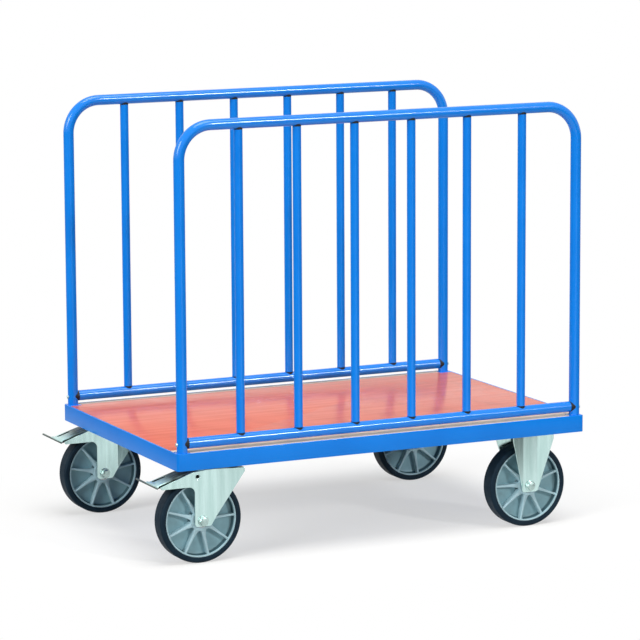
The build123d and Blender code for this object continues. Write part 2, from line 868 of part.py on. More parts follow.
def section_plane(x, y):
    """A level plane through the axle: its first axis is the radius, its second runs along the axle."""
    return Plane(origin=(x, y, axle_z), x_dir=(1, 0, 0), z_dir=(0, 0, 1))


def axle_axis(x, y):
    return Axis((x, y, axle_z), (0, 1, 0))


def wheel_rim(x, y, rib_angle):
    with BuildPart() as rim:
        with BuildSketch(section_plane(x, y)) as section:
            with Locations((rim_radius - rim_ring / 2, 0)):
                Rectangle(rim_ring, rim_width)
            fillet(section.vertices(), radius=rim_edge_round)
            with Locations((rim_radius - rim_ring / 2, 0)):
                Rectangle(
                    rim_radius - rim_ring / 2 - hub_bore,
                    web_thickness,
                    align=(Align.MAX, Align.CENTER),
                )
            with Locations((hub_bore, 0)):
                Rectangle(hub_radius - hub_bore, hub_width, align=(Align.MIN, Align.CENTER))
            with Locations((0, hub_width / 2), (0, -hub_width / 2)):
                Rectangle(2 * (bearing_radius + seat_clearance), 2 * bearing_width, mode=Mode.SUBTRACT)
        revolve(axis=axle_axis(x, y))
        rib_start = bearing_radius + (hub_radius - bearing_radius) / 2
        rib_end = rim_radius - rim_ring / 2
        with BuildSketch(across(x, y, axle_z)):
            with PolarLocations(0, rib_count, start_angle=rib_angle):
                Polygon(
                    (rib_start, -rib_root_width / 2),
                    (rib_end, -rib_tip_width / 2),
                    (rib_end, rib_tip_width / 2),
                    (rib_start, rib_root_width / 2),
                    align=None,
                )
        extrude(amount=rim_width / 2 - rib_setback, both=True)
    return rim.part


def wheel_tyre(x, y):
    inner = rim_radius + tyre_seat_gap
    with BuildPart() as tyre:
        with BuildSketch(section_plane(x, y)) as section:
            with Locations((inner, 0)):
                Rectangle(wheel_radius - inner, tyre_width, align=(Align.MIN, Align.CENTER))
            fillet(section.vertices().group_by(Axis.X)[-1], radius=tyre_shoulder_radius)
            chamfer(section.vertices().group_by(Axis.X)[0], length=tyre_foot_chamfer)
        revolve(axis=axle_axis(x, y))
    return tyre.part


def wheel_bearings(x, y):
    groove = (bearing_radius - sleeve_diameter / 2) / 2
    with BuildPart() as bearings:
        with BuildSketch(section_plane(x, y)):
            for side in sides.values():
                bearing_middle = side * (hub_width - bearing_width) / 2
                with Locations((sleeve_diameter / 2 + running_clearance, bearing_middle)):
                    Rectangle(
                        bearing_radius - sleeve_diameter / 2 - running_clearance,
                        bearing_width,
                        align=(Align.MIN, Align.CENTER),
                    )
                with Locations((sleeve_diameter / 2 + groove, side * hub_width / 2)):
                    Rectangle(groove, 2 * bearing_groove_depth, mode=Mode.SUBTRACT)
        revolve(axis=axle_axis(x, y))
    return bearings.part


for kind, x in (("swivel", swivel_axle_x), ("fixed", fixed_x)):
    for name, y in caster_y.items():
        finish(wheel_rim(x, y, rib_angles[f"{name}_{kind}"]), f"{name}_{kind}_rim")
        finish(wheel_tyre(x, y), f"{name}_{kind}_tyre")
        finish(wheel_bearings(x, y), f"{name}_{kind}_bearings")
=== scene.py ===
import json
import math
import bmesh
import bpy
from mathutils import Matrix, Vector

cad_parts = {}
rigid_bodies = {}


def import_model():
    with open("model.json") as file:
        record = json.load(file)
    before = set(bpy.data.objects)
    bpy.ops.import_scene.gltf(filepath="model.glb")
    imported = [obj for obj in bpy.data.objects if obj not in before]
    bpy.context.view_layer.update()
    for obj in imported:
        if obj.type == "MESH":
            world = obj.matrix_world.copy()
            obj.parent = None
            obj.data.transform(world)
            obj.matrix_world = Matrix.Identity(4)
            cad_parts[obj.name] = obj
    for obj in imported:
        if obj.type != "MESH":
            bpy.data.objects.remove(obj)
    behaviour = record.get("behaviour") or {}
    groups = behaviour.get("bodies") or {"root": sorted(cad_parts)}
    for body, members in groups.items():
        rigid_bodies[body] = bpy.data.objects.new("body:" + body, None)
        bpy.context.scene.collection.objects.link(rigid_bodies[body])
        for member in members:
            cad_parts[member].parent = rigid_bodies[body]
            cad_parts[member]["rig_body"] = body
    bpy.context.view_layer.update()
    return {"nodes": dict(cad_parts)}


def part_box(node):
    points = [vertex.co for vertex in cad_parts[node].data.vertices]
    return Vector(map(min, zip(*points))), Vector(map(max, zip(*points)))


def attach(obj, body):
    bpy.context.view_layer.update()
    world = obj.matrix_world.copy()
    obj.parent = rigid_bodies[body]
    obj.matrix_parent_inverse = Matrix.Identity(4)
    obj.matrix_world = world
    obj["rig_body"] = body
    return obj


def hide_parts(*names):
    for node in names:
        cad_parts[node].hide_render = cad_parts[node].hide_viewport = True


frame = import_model()

# Platform frame
# Four lengths of steel angle, mitred, welded into one frame and ground flush at the corners.
# The whole frame is powder-coated in a glossy blue with a faint orange peel.


def colour(red, green, blue):
    """A colour as a screen shows it, in the linear values that a shader takes."""
    linear = [c / 255 / 12.92 if c < 10.4 else ((c / 255 + 0.055) / 1.055) ** 2.4 for c in (red, green, blue)]
    return (*linear, 1.0)


def add(tree, kind, inputs=None, **settings):
    """A node with its settings, and with each input linked or set."""
    node = tree.nodes.new(kind)
    for name, value in settings.items():
        setattr(node, name, value)
    for socket, value in (inputs or {}).items():
        if isinstance(value, bpy.types.NodeSocket):
            tree.links.new(value, node.inputs[socket])
        else:
            node.inputs[socket].default_value = value
    return node


def effect(name, values, output):
    """An empty shader node group with a place and named values going in, and one value coming out."""
    group = bpy.data.node_groups.new(name, "ShaderNodeTree")
    group.interface.new_socket("Place", in_out="INPUT", socket_type="NodeSocketVector")
    for value in values:
        group.interface.new_socket(value, in_out="INPUT", socket_type="NodeSocketFloat")
    group.interface.new_socket(output, in_out="OUTPUT", socket_type="NodeSocketFloat")
    return group, group.nodes.new("NodeGroupInput").outputs, group.nodes.new("NodeGroupOutput").inputs


clouds, given, result = effect("clouds", ("Scale", "Low", "High"), "Value")
blotches = add(clouds, "ShaderNodeTexNoise", {
    "Vector": given["Place"], "Scale": given["Scale"], "Detail": 3.0})
spread = add(clouds, "ShaderNodeMapRange", {
    "Value": blotches.outputs["Fac"], "From Min": 0.34, "From Max": 0.66,
    "To Min": given["Low"], "To Max": given["High"]})
clouds.links.new(spread.outputs["Result"], result["Value"])

skin, given, result = effect("skin", ("Scale",), "Height")
pimples = add(skin, "ShaderNodeTexNoise", {
    "Vector": given["Place"], "Scale": given["Scale"], "Detail": 1.5})
skin.links.new(pimples.outputs["Fac"], result["Height"])


def new_finish(name, **plain):
    """A material with plain shader values, its node tree, its shader and the place on the piece."""
    material = bpy.data.materials.new(name)
    material.use_nodes = True
    tree = material.node_tree
    shader = tree.nodes["Principled BSDF"]
    for socket, value in plain.items():
        shader.inputs[socket.replace("_", " ")].default_value = value
    return material, tree, shader, add(tree, "ShaderNodeTexCoord").outputs["Object"]


def drift(tree, place, scale, low, high):
    """A value that drifts between two limits over the surface."""
    values = {"Place": place, "Scale": scale, "Low": low, "High": high}
    return add(tree, "ShaderNodeGroup", values, node_tree=clouds).outputs["Value"]


def mixed(tree, share, first, second):
    """A colour between two, by the share of the second."""
    return add(tree, "ShaderNodeMix", {0: share, 6: first, 7: second}, data_type="RGBA").outputs[2]


def blotched(tree, shader, place, scale, first, second):
    """Let the base colour drift between two near shades."""
    shade = mixed(tree, drift(tree, place, scale, 0.0, 1.0), first, second)
    tree.links.new(shade, shader.inputs["Base Color"])
    return shade


def uneven(tree, shader, place, scale, low, high):
    """Let the roughness drift between two values."""
    tree.links.new(drift(tree, place, scale, low, high), shader.inputs["Roughness"])


def textured(tree, shader, place, scale, depth, strength):
    """Give the surface a fine relief."""
    relief = add(tree, "ShaderNodeGroup", {"Place": place, "Scale": scale}, node_tree=skin)
    bump = add(tree, "ShaderNodeBump", {
        "Height": relief.outputs["Height"], "Distance": depth, "Strength": strength})
    tree.links.new(bump.outputs["Normal"], shader.inputs["Normal"])


def blue_coat(name, gloss):
    """The blue powder coat, as glossy as the steel under it lets it be."""
    coat, tree, shader, place = new_finish(name, Specular_IOR_Level=gloss)
    blotched(tree, shader, place, 9.0, colour(0, 125, 227), colour(4, 131, 234))
    uneven(tree, shader, place, 60.0, 0.11, 0.17)
    textured(tree, shader, place, 900.0, 0.0001, 0.08)
    return coat


coated_angle = blue_coat("blue_coat_on_angle", 0.22)


def settle(piece, *nodes):
    """Let a piece stand for CAD nodes and ride on their body."""
    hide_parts(*nodes)
    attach(piece, frame["nodes"][nodes[0]]["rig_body"])
    return piece


def baked(piece, sharp_above):
    """Turn what the modifiers make into the piece's own plain mesh, smooth up to an angle."""
    mesh = bpy.data.meshes.new_from_object(piece.evaluated_get(bpy.context.evaluated_depsgraph_get()))
    piece.modifiers.clear()
    piece.data = mesh
    mesh.shade_smooth()
    mesh.set_sharp_from_angle(angle=math.radians(sharp_above))
    return piece


def new_piece(name, mesh):
    """A mesh as an object in the scene."""
    piece = bpy.data.objects.new(name, mesh)
    bpy.context.scene.collection.objects.link(piece)
    return piece


def dressed(node, finish, rounding):
    """A copy of a CAD node, its triangles merged, its edges rounded and its finish on."""
    same_point, same_plane, sharp_edge = 2e-6, math.radians(0.2), math.radians(32)
    source = frame["nodes"][node].data
    mesh = bpy.data.meshes.new(f"{node}_dressed")
    mesh.from_pydata([v.co for v in source.vertices], [], [p.vertices[:] for p in source.polygons])
    shape = bmesh.new()
    shape.from_mesh(mesh)
    bmesh.ops.remove_doubles(shape, verts=shape.verts, dist=same_point)
    bmesh.ops.dissolve_limit(shape, angle_limit=same_plane, verts=shape.verts, edges=shape.edges)
    shape.to_mesh(mesh)
    shape.free()
    mesh.materials.append(finish)
    piece = new_piece(f"{node}_dressed", mesh)
    rounded = piece.modifiers.new("rounded", "BEVEL")
    rounded.width = rounding
    rounded.segments = 2
    rounded.limit_method = "ANGLE"
    rounded.angle_limit = sharp_edge
    rounded.use_clamp_overlap = False
    piece.modifiers.new("flat_faces", "WEIGHTED_NORMAL").keep_sharp = True
    return settle(baked(piece, 50), node)


for rail in ("front_rail", "rear_rail", "left_end_rail", "right_end_rail"):
    dressed(rail, coated_angle, 0.0005)

# Bearers
# Three shallow channels of folded steel across the underside, welded to the flanges of the frame.
# They carry the casters and the board, and have the same blue coat as the frame.
for bearer in ("left_bearer", "middle_bearer", "right_bearer"):
    dressed(bearer, coated_angle, 0.0006)

# Board
# One sheet of pressed board with a beech face, sealed to a low gloss, laid flush in the frame.
# The grain runs along the platform, its long edges have pale lipping, and grey paper backs its underside.
front_lipping, rear_lipping, lipping_joint = 0.045, 0.020, 0.0008
sealed_beech, tree, shader, place = new_finish("sealed_beech", Specular_IOR_Level=0.06)
along = add(tree, "ShaderNodeMapping", {"Vector": place, "Scale": (2.2, 55.0, 20.0)})
bands = add(tree, "ShaderNodeTexNoise", {
    "Vector": along.outputs["Vector"], "Scale": 1.0, "Detail": 5.0, "Roughness": 0.62})
face = add(tree, "ShaderNodeValToRGB", {"Fac": bands.outputs["Fac"]})
for element, position, tone in zip(face.color_ramp.elements, (0.3, 0.7), ((219, 108, 85), (234, 127, 104))):
    element.position = position
    element.color = colour(*tone)
fine = add(tree, "ShaderNodeMapping", {"Vector": place, "Scale": (38.0, 900.0, 60.0)})
flecks = add(tree, "ShaderNodeTexNoise", {"Vector": fine.outputs["Vector"], "Scale": 1.0, "Detail": 2.0})
dark = add(tree, "ShaderNodeMapRange", {
    "Value": flecks.outputs["Fac"], "From Min": 0.6, "From Max": 0.72, "To Max": 0.18})
grain = mixed(tree, dark.outputs["Result"], face.outputs["Color"], colour(204, 84, 62))
low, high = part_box("deck_board")
middle = (low + high) / 2
half = (high - low) / 2
face_middle = middle + Vector((0, (front_lipping - rear_lipping) / 2, 0))
face_half = Vector((0, half.y - (front_lipping + rear_lipping) / 2, 0))
centred = add(tree, "ShaderNodeVectorMath", {0: place, 1: face_middle}, operation="SUBTRACT")
spread = add(tree, "ShaderNodeVectorMath", {0: centred.outputs["Vector"]}, operation="ABSOLUTE")
outside = add(tree, "ShaderNodeVectorMath", {0: spread.outputs["Vector"], 1: face_half}, operation="SUBTRACT")
sides = add(tree, "ShaderNodeSeparateXYZ", {"Vector": outside.outputs["Vector"]})
edge = add(tree, "ShaderNodeMapRange", {
    "Value": sides.outputs["Y"], "From Min": 0.0, "From Max": lipping_joint})
lipped = mixed(tree, edge.outputs["Result"], grain, colour(252, 228, 202))


def maths(tree, operation, *values):
    """The result of a sum on linked or plain values."""
    return add(tree, "ShaderNodeMath", dict(enumerate(values)), operation=operation).outputs[0]


facing = add(tree, "ShaderNodeSeparateXYZ", {0: add(tree, "ShaderNodeNewGeometry").outputs["True Normal"]})
below = maths(tree, "LESS_THAN", facing.outputs["Z"], -0.5)
backed = mixed(tree, below, lipped, colour(176, 172, 164))
tree.links.new(backed, shader.inputs["Base Color"])
uneven(tree, shader, place, 30.0, 0.18, 0.25)
bump = add(tree, "ShaderNodeBump", {"Height": flecks.outputs["Fac"], "Distance": 0.0001, "Strength": 0.15})
tree.links.new(bump.outputs["Normal"], shader.inputs["Normal"])
dressed("deck_board", sealed_beech, 0.0004)

# Corner spigots
# A steel block in each corner of the frame, with a round stub that the hoop's leg slides over.
# They are welded in before the frame is coated, so they are blue too.
dressed("hoop_spigots", coated_angle, 0.0005)

# Side hoops
# Each is one length of round steel tube, bent twice into a hoop and coated blue.
# Its legs slide over the corner spigots and stand on the frame.


def new_rule(name, values):
    """An empty geometry node tree with named inputs, its inputs and its output."""
    rule = bpy.data.node_groups.new(name, "GeometryNodeTree")
    rule.interface.new_socket("Geometry", in_out="INPUT", socket_type="NodeSocketGeometry")
    for value, kind in values.items():
        rule.interface.new_socket(value, in_out="INPUT", socket_type=f"NodeSocket{kind}")
    rule.interface.new_socket("Finish", in_out="INPUT", socket_type="NodeSocketMaterial")
    rule.interface.new_socket("Geometry", in_out="OUTPUT", socket_type="NodeSocketGeometry")
    return rule, rule.nodes.new("NodeGroupInput").outputs, rule.nodes.new("NodeGroupOutput").inputs


def end_rule(rule, made, given, result):
    """Make instances real and put the finish on, as the last steps of a tree."""
    real = add(rule, "GeometryNodeRealizeInstances", {"Geometry": made})
    coated = add(rule, "GeometryNodeSetMaterial", {"Geometry": real.outputs[0], "Material": given["Finish"]})
    rule.links.new(coated.outputs[0], result["Geometry"])


def grown(name, mesh, rule, place=Matrix(), sharp_above=40, rounding=0.0, **values):
    """A piece that a geometry node tree makes from a mesh, as a plain mesh in its place."""
    piece = new_piece(name, mesh)
    modifier = piece.modifiers.new("rule", "NODES")
    modifier.node_group = rule
    for socket in rule.interface.items_tree:
        if socket.in_out == "INPUT" and socket.name.replace(" ", "_") in values:
            modifier[socket.identifier] = values[socket.name.replace(" ", "_")]
    if rounding:
        rounded = piece.modifiers.new("rounded", "BEVEL")
        rounded.width = rounding
        rounded.segments = 2
        rounded.limit_method = "ANGLE"
    baked(piece, sharp_above)
    piece.data.transform(place)
    return piece


coated_tube = blue_coat("blue_coat_on_tube", 0.42)
bent_tube, given, result = new_rule("bent_tube", {"Tube radius": "Float", "Bend radius": "Float"})
run = add(bent_tube, "GeometryNodeMeshToCurve", {"Mesh": given["Geometry"]})
bent = add(bent_tube, "GeometryNodeFilletCurve", {
    "Curve": run.outputs[0], "Count": 24, "Radius": given["Bend radius"]}, mode="POLY")
circle = add(bent_tube, "GeometryNodeCurvePrimitiveCircle", {
    "Resolution": 48, "Radius": given["Tube radius"]})
tube = add(bent_tube, "GeometryNodeCurveToMesh", {
    "Curve": bent.outputs[0], "Profile Curve": circle.outputs[0], "Fill Caps": True})
end_rule(bent_tube, tube.outputs[0], given, result)

bend_radius = 0.077
for side in ("front", "rear"):
    low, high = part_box(f"{side}_hoop")
    tube_radius = (high.y - low.y) / 2
    y = (low.y + high.y) / 2
    left, right, top = low.x + tube_radius, high.x - tube_radius, high.z - tube_radius
    corners = [(left, y, low.z), (left, y, top), (right, y, top), (right, y, low.z)]
    path = bpy.data.meshes.new(f"{side}_hoop_path")
    path.from_pydata(corners, [(0, 1), (1, 2), (2, 3)], [])
    hoop = grown(f"{side}_bent_hoop", path, bent_tube,
                 Tube_radius=tube_radius, Bend_radius=bend_radius, Finish=coated_tube)
    settle(hoop, f"{side}_hoop")

# Lower rails and bars
# Straight round tubes, coated blue: a rail low between the legs and six bars up to the hoop.
# Their ends are cut square and a little rounded, and stand on saddles.
cut_tubes, given, result = new_rule("row_of_cut_tubes", {
    "Count": "Int", "First": "Float", "Pitch": "Float", "Tube radius": "Float",
    "Low axis": "Float", "Low hollow": "Float", "Low side": "Float",
    "High axis": "Float", "High hollow": "Float", "High side": "Float"})
blank = add(cut_tubes, "GeometryNodeMeshCylinder", {
    "Vertices": 40, "Fill Segments": 4, "Radius": given["Tube radius"], "Depth": 1.0},
    fill_type="TRIANGLE_FAN")
where = add(cut_tubes, "ShaderNodeSeparateXYZ", {0: add(cut_tubes, "GeometryNodeInputPosition").outputs[0]})
square = maths(cut_tubes, "MULTIPLY", where.outputs["Y"], where.outputs["Y"])
heights = []
for end in ("Low", "High"):
    reach = maths(cut_tubes, "MULTIPLY", given[f"{end} hollow"], given[f"{end} hollow"])
    rise = maths(cut_tubes, "SQRT", maths(cut_tubes, "SUBTRACT", reach, square))
    heights.append(maths(cut_tubes, "MULTIPLY_ADD", rise, given[f"{end} side"], given[f"{end} axis"]))
upper = maths(cut_tubes, "GREATER_THAN", where.outputs["Z"], 0.0)
height = add(cut_tubes, "ShaderNodeMix", {0: upper, 2: heights[0], 3: heights[1]})
end_place = add(cut_tubes, "ShaderNodeCombineXYZ", {
    "X": where.outputs["X"], "Y": where.outputs["Y"], "Z": height.outputs[0]})
cut = add(cut_tubes, "GeometryNodeSetPosition", {
    "Geometry": blank.outputs[0], "Position": end_place.outputs[0]})
first = add(cut_tubes, "ShaderNodeCombineXYZ", {"X": given["First"]})
step = add(cut_tubes, "ShaderNodeCombineXYZ", {"X": given["Pitch"]})
places = add(cut_tubes, "GeometryNodeMeshLine", {
    "Count": given["Count"], "Start Location": first.outputs[0], "Offset": step.outputs[0]})
row = add(cut_tubes, "GeometryNodeInstanceOnPoints", {
    "Points": places.outputs[0], "Instance": cut.outputs[0]})
end_rule(cut_tubes, row.outputs[0], given, result)

saddle_floor = 0.001
seat = tube_radius + saddle_floor
end_rounding = 0.0004
bar_count = 6
low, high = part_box("front_bars")
bar_radius = (high.y - low.y) / 2
bar_pitch = (high.x - low.x - 2 * bar_radius) / (bar_count - 1)
row_of_bars = dict(Count=bar_count, First=low.x + bar_radius, Pitch=bar_pitch, Tube_radius=bar_radius)
one_rail = dict(Count=1, First=0.0, Pitch=0.0, Tube_radius=tube_radius)
low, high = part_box("front_lower_rail")
rail_height = (low.z + high.z) / 2


def square_ends(low_end, high_end):
    """Both ends of a tube cut square, at their places along it."""
    return dict(Low_axis=low_end, Low_hollow=tube_radius, Low_side=0.0,
                High_axis=high_end, High_hollow=tube_radius, High_side=0.0)


def side_places(side):
    """Where upright tubes start from on a side, and how tubes that lie along it are turned and placed."""
    low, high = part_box(f"{side}_bars")
    y = (low.y + high.y) / 2
    lying = Matrix.Translation((0, y, rail_height)) @ Matrix.Rotation(math.radians(90), 4, "Y")
    return Matrix.Translation((0, y, 0)), lying


for side in ("front", "rear"):
    upright, lying = side_places(side)
    piece = grown(f"{side}_cut_bars", bpy.data.meshes.new("bars"), cut_tubes, upright, 20, end_rounding,
                  **row_of_bars, **square_ends(rail_height + seat, top - seat), Finish=coated_tube)
    settle(piece, f"{side}_bars")
    piece = grown(f"{side}_cut_rail", bpy.data.meshes.new("rail"), cut_tubes, lying, 20, end_rounding,
                  **one_rail, **square_ends(left + seat, right - seat), Finish=coated_tube)
    settle(piece, f"{side}_lower_rail")

# Saddles
# Small moulded pads of black plastic, flat against each tube end and hollow against the tube it meets.
# A screw inside the tube draws the end down onto its saddle.
black_plastic, tree, shader, place = new_finish("black_moulded_plastic", Specular_IOR_Level=0.35)
blotched(tree, shader, place, 120.0, colour(9, 11, 15), colour(17, 20, 26))
uneven(tree, shader, place, 300.0, 0.5, 0.66)
textured(tree, shader, place, 1800.0, 0.0002, 0.25)


def joined(name, finish, *pieces):
    """Several pieces as one, with one finish."""
    shape = bmesh.new()
    for piece in pieces:
        shape.from_mesh(piece.data)
    for face in shape.faces:
        face.material_index = 0
    mesh = bpy.data.meshes.new(name)
    shape.to_mesh(mesh)
    shape.free()
    mesh.materials.append(finish)
    for piece in pieces:
        bpy.data.objects.remove(piece)
    mesh.set_sharp_from_angle(angle=math.radians(40))
    return new_piece(name, mesh)


seat_gap = 0.0001
hollow = tube_radius + seat_gap


def saddle_ends(axis, facing):
    """The hollow and the flat end of a saddle, which faces up or down from the axis of the tube under it."""
    low, high = ("Low", "High") if facing > 0 else ("High", "Low")
    return {f"{low}_axis": axis, f"{low}_hollow": hollow, f"{low}_side": facing,
            f"{high}_axis": axis + facing * (seat - seat_gap), f"{high}_hollow": hollow, f"{high}_side": 0.0}


bar_saddles = []
rail_saddles = []
for side in ("front", "rear"):
    upright, lying = side_places(side)
    for axis, facing in ((rail_height, 1.0), (top, -1.0)):
        bar_saddles.append(grown("bar_saddle", bpy.data.meshes.new("saddle"), cut_tubes, upright, 25,
                                 **row_of_bars, **saddle_ends(axis, facing), Finish=black_plastic))
    for axis, facing in ((left, 1.0), (right, -1.0)):
        rail_saddles.append(grown("rail_saddle", bpy.data.meshes.new("saddle"), cut_tubes, lying, 25,
                                  **one_rail, **saddle_ends(axis, facing), Finish=black_plastic))
settle(joined("black_bar_saddles", black_plastic, *bar_saddles), "bar_saddles")
settle(joined("black_rail_saddles", black_plastic, *rail_saddles), "rail_saddles")

# Hoop screws
# A pan-head screw of bright zinc-plated steel low on the end side of each leg, with a socket in its head.
# It runs through the leg into the spigot and keeps the hoop from lifting off.
bright_zinc, tree, shader, place = new_finish("bright_zinc_fasteners", Metallic=1.0)
blotched(tree, shader, place, 90.0, colour(188, 212, 209), colour(208, 230, 227))
uneven(tree, shader, place, 220.0, 0.28, 0.42)
textured(tree, shader, place, 1500.0, 0.0001, 0.12)


def turned(name, profile, axis, steps, centre=(0, 0, 0)):
    """A closed ring: an outline of (radius, along) points, turned about an axis."""
    rays = {"X": ((0, 1, 0), (0, 0, 1)), "Y": ((1, 0, 0), (0, 0, 1))}
    out, up = rays[axis]
    line = Vector([axis == letter for letter in "XYZ"])
    shape = bmesh.new()
    rings = []
    for i in range(steps):
        angle = 2 * math.pi * i / steps
        ray = Vector(out) * math.cos(angle) + Vector(up) * math.sin(angle)
        rings.append([shape.verts.new(Vector(centre) + ray * r + line * a) for r, a in profile])
    for ring, following in zip(rings, rings[1:] + rings[:1]):
        for i in range(len(profile)):
            j = (i + 1) % len(profile)
            shape.faces.new((ring[i], ring[j], following[j], following[i]))
    bmesh.ops.recalc_face_normals(shape, faces=shape.faces)
    mesh = bpy.data.meshes.new(name)
    shape.to_mesh(mesh)
    shape.free()
    return mesh


at_legs, given, result = new_rule("screw_at_each_leg", {"Length": "Float", "Width": "Float"})
feet = add(at_legs, "GeometryNodeMeshGrid", {
    "Size X": given["Length"], "Size Y": given["Width"], "Vertices X": 2, "Vertices Y": 2})
foot = add(at_legs, "ShaderNodeSeparateXYZ", {0: add(at_legs, "GeometryNodeInputPosition").outputs[0]})
left_end = maths(at_legs, "LESS_THAN", foot.outputs["X"], 0.0)
outwards = add(at_legs, "ShaderNodeCombineXYZ", {"Z": maths(at_legs, "MULTIPLY", left_end, math.pi)})
screws = add(at_legs, "GeometryNodeInstanceOnPoints", {
    "Points": feet.outputs[0], "Instance": given["Geometry"], "Rotation": outwards.outputs[0]})
end_rule(at_legs, screws.outputs[0], given, result)

head_radius = 0.0045
head_outline = [(0.0014, -0.002), (0.0026, -0.002), (0.0026, 0.0002), (head_radius, 0.0002),
                (head_radius, 0.0012), (0.0041, 0.0021), (0.0033, 0.0027), (0.0023, 0.003),
                (0.0021, 0.0028), (0.0020, 0.0014), (0.0014, 0.0012)]
low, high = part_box("hoop_screws")
piece = grown("pan_head_screws", turned("hoop_screw_head", head_outline, "X", 24), at_legs,
              Matrix.Translation((low + high) / 2), 30, Length=right - left + 2 * tube_radius,
              Width=high.y - low.y - 2 * head_radius, Finish=bright_zinc)
settle(piece, "hoop_screws")

# Caster plates
# Pressed steel plates with rounded corners, zinc-plated and painted dark as shade, bolted up against the
# bearers.
# Each carries the swivel head below it.
# A zinc painted dark to stand for the shade these parts sit in.
dull_zinc, tree, shader, place = new_finish("dull_zinc", Metallic=1.0)
blotched(tree, shader, place, 40.0, colour(84, 98, 94), colour(112, 128, 123))
uneven(tree, shader, place, 80.0, 0.3, 0.45)
textured(tree, shader, place, 1400.0, 0.0001, 0.1)
for side in ("front", "rear"):
    dressed(f"{side}_swivel_plate", dull_zinc, 0.0006)

# Caster bolts and nuts
# Hexagon bolts and nuts of bright zinc-plated steel, four through each caster and its bearer.
# The heads are below the swivel plates and fixed brackets, and the nuts inside the bearers.
dressed("caster_bolts", bright_zinc, 0.0005)
dressed("caster_nuts", bright_zinc, 0.0005)

# Swivel heads
# A king pin and nut hold the fork to the plate, and a ring of hard steel balls runs between them.
# A pressed cup around the balls, painted as dark as the plate for shade, keeps the grease in.
ground_steel, tree, shader, place = new_finish("ground_steel", Metallic=1.0)
blotched(tree, shader, place, 60.0, colour(168, 172, 174), colour(190, 194, 196))
uneven(tree, shader, place, 200.0, 0.16, 0.26)
textured(tree, shader, place, 2400.0, 0.0001, 0.08)
dressed("king_pins", bright_zinc, 0.0004)
dressed("king_nuts", bright_zinc, 0.0006)
dressed("swivel_balls", ground_steel, 0.0)
for side in ("front", "rear"):
    dressed(f"{side}_swivel_cup", dull_zinc, 0.0004)

# Swivel forks and fixed brackets
# Pressed from one sheet of steel each: two cheeks that flare outwards, joined by a flat crown.
# Their zinc plating has faint upright streaks, and the forks' arms reach forwards to carry the pedal.
zinc_sheet, tree, shader, place = new_finish("zinc_sheet", Metallic=1.0)
drawn = add(tree, "ShaderNodeMapping", {"Vector": place, "Scale": (3.0, 3.0, 0.25)}).outputs["Vector"]
blotched(tree, shader, drawn, 26.0, colour(190, 221, 217), colour(207, 236, 233))
uneven(tree, shader, drawn, 45.0, 0.15, 0.26)
textured(tree, shader, place, 1400.0, 0.0001, 0.06)
fork_flare, fork_bend, fork_bend_length = 0.25, 0.0328, 0.0024
wing_flare, wing_bend, wing_bend_length = 0.4885, 0.0183, 0.0026
nearly_along = 0.985


def even_bends(piece, place, slope):
    """Shade the cheeks of a pressed piece as one even sheet, which slopes outwards by a given rule."""
    mesh = piece.data

    def true_normal(point, facing):
        outwards = slope(point.x - place.x) * math.copysign(1, point.y - place.y)
        return Vector((-outwards, 1, 0)).normalized() * math.copysign(1, facing.y)

    normals = []
    for face in mesh.polygons:
        flat = face.normal.dot(true_normal(face.center, face.normal)) > nearly_along
        for corner in face.vertices:
            normals.append(true_normal(mesh.vertices[corner].co, face.normal) if flat else (0, 0, 0))
    mesh.normals_split_custom_set(normals)


def bend(x, start, length):
    """How far a bend has turned, from 0 to 1, at a place along the sheet."""
    return min(max((x - start) / length, 0), 1)


def fork_slope(x):
    """How steeply a fork's cheek slopes outwards, which it does towards the king pin."""
    return fork_flare * bend(x, fork_bend, fork_bend_length)


def wing_slope(x):
    """How steeply a bracket's cheek slopes outwards, which it does on both sides of the axle."""
    return wing_flare * (bend(x, wing_bend, wing_bend_length) - bend(-x, wing_bend, wing_bend_length))


for side in ("front", "rear"):
    low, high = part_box(f"{side}_swivel_rim")
    fork = dressed(f"{side}_fork", zinc_sheet, 0.0007)
    even_bends(fork, (low + high) / 2, fork_slope)
    low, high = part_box(f"{side}_fixed_rim")
    bracket = dressed(f"{side}_fixed_bracket", zinc_sheet, 0.0007)
    even_bends(bracket, (low + high) / 2, wing_slope)

# Axles
# A flanged hexagon bolt of zinc-plated steel through the cheeks of each caster, with a flanged nut behind.
# A ground steel sleeve on it keeps the cheeks apart and carries the bearings.
plated_bolt, tree, shader, place = new_finish("plated_axle_bolt", Metallic=1.0)
blotched(tree, shader, place, 110.0, colour(166, 190, 186), colour(190, 214, 210))
uneven(tree, shader, place, 240.0, 0.2, 0.32)
textured(tree, shader, place, 1500.0, 0.0001, 0.1)
for side in ("front", "rear"):
    dressed(f"{side}_axle_bolt", plated_bolt, 0.0006)
    dressed(f"{side}_axle_nut", plated_bolt, 0.0006)
    dressed(f"{side}_axle_sleeve", ground_steel, 0.0003)
dressed("fixed_axle_bolts", plated_bolt, 0.0006)
dressed("fixed_axle_nuts", plated_bolt, 0.0006)
dressed("fixed_axle_sleeves", ground_steel, 0.0003)
